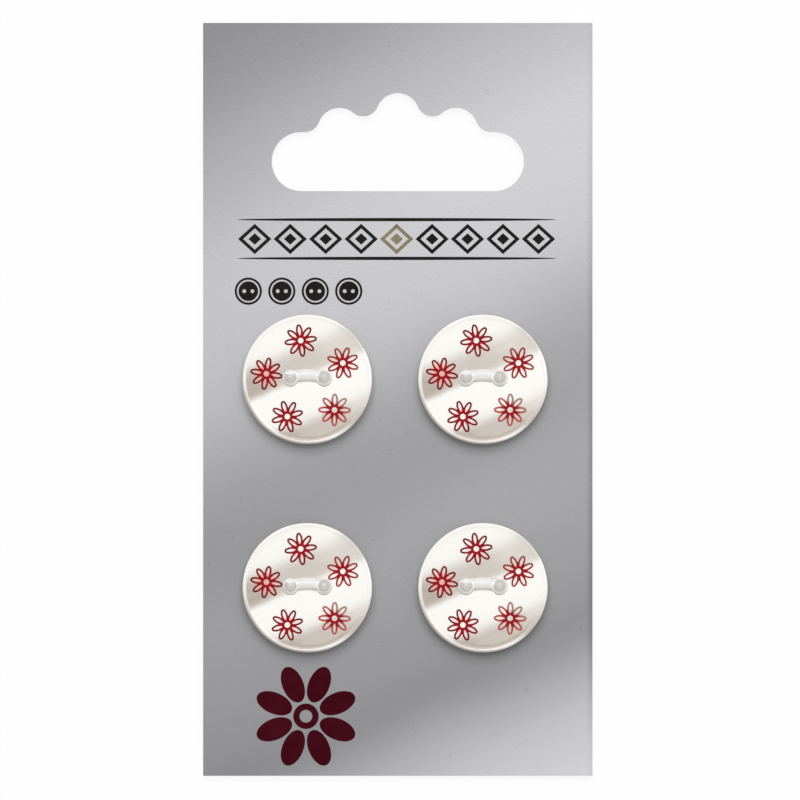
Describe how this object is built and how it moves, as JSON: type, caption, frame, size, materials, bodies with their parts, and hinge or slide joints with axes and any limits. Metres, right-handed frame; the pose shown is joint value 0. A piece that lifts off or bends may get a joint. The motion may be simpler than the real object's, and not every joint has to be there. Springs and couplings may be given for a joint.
{
  "type": "card of buttons",
  "caption": "Silver retail card with a scalloped hang slot and a block of round two-hole pearl buttons, engraved with red daisies and held on by clear plastic staples",
  "frame": {"origin": "on the surface that the card lies on, under the middle of the card", "axes": "+X to the right across the printed face, +Y up the card towards its hang slot, +Z out of the printed face"},
  "size_m": [0.05, 0.0966, 0.0044],
  "materials": {
    "silver_board": "silver-grey print, satin",
    "pearl": "polished pearl",
    "red_lacquer": "lacquer fill",
    "clear_plastic": "clear, glossy"
  },
  "bodies": {
    "root": {"card": "silver_board", "button_top_left": "pearl", "button_top_right": "pearl", "button_bottom_left": "pearl", "button_bottom_right": "pearl", "flowers_top_left": "red_lacquer", "flowers_top_right": "red_lacquer", "flowers_bottom_left": "red_lacquer", "flowers_bottom_right": "red_lacquer", "staple_top_left": "clear_plastic", "staple_top_right": "clear_plastic", "staple_bottom_left": "clear_plastic", "staple_bottom_right": "clear_plastic"}
  },
  "joints": []
}
